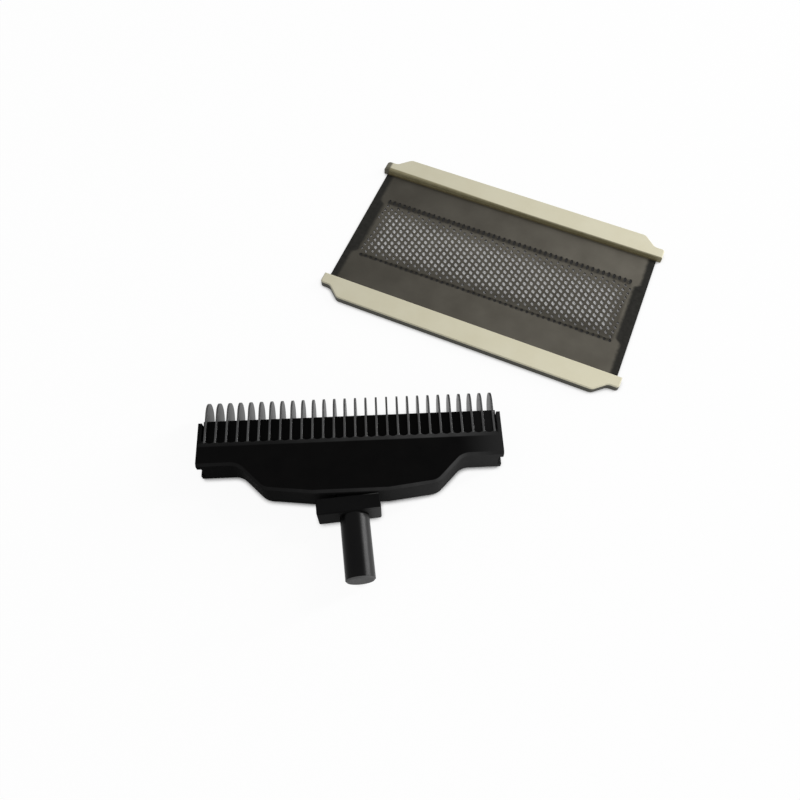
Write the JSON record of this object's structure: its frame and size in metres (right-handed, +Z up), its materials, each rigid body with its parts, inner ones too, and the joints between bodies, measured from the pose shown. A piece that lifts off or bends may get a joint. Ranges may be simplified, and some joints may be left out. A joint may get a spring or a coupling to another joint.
{
  "type": "shaver head",
  "caption": "Electric shaver head laid out as a set: black cutter block with round-topped steel blades on a swivelling drive stem, and a flat perforated foil held between two plastic strips.",
  "frame": {"origin": "on the drive stem's swivel axis, at the carrier's back face, which lies on the surface", "axes": "+X along the cutter block, +Y from the stem towards the blade tips, +Z up, out of the block's front face"},
  "size_m": [0.0704, 0.0713, 0.005],
  "materials": {
    "carrier_plastic": "satin black moulding",
    "stem_plastic": "semi-gloss black moulding",
    "blade_steel": "ground steel",
    "foil_metal": "dull dark nickel foil",
    "strip_plastic": "satin cream moulding"
  },
  "bodies": {
    "head_set": {"cutter_carrier": "carrier_plastic", "blade_01": "blade_steel", "blade_02": "blade_steel", "blade_03": "blade_steel", "blade_04": "blade_steel", "blade_05": "blade_steel", "blade_06": "blade_steel", "blade_07": "blade_steel", "blade_08": "blade_steel", "blade_09": "blade_steel", "blade_10": "blade_steel", "blade_11": "blade_steel", "blade_12": "blade_steel", "blade_13": "blade_steel", "blade_14": "blade_steel", "blade_15": "blade_steel", "blade_16": "blade_steel", "blade_17": "blade_steel", "blade_18": "blade_steel", "blade_19": "blade_steel", "blade_20": "blade_steel", "blade_21": "blade_steel", "blade_22": "blade_steel", "blade_23": "blade_steel", "blade_24": "blade_steel", "blade_25": "blade_steel", "blade_26": "blade_steel", "blade_27": "blade_steel", "blade_28": "blade_steel", "foil_sheet": "foil_metal", "upper_foil_strip": "strip_plastic", "lower_foil_strip": "strip_plastic"},
    "stem": {"drive_stem": "stem_plastic"}
  },
  "joints": [
    {"name": "stem_swivel", "type": "hinge", "parent": "head_set", "child": "stem", "pos_m": [0, 0, 0.0025], "axis": [0, 0, 1], "range_deg": [-8.4, 0]}
  ]
}
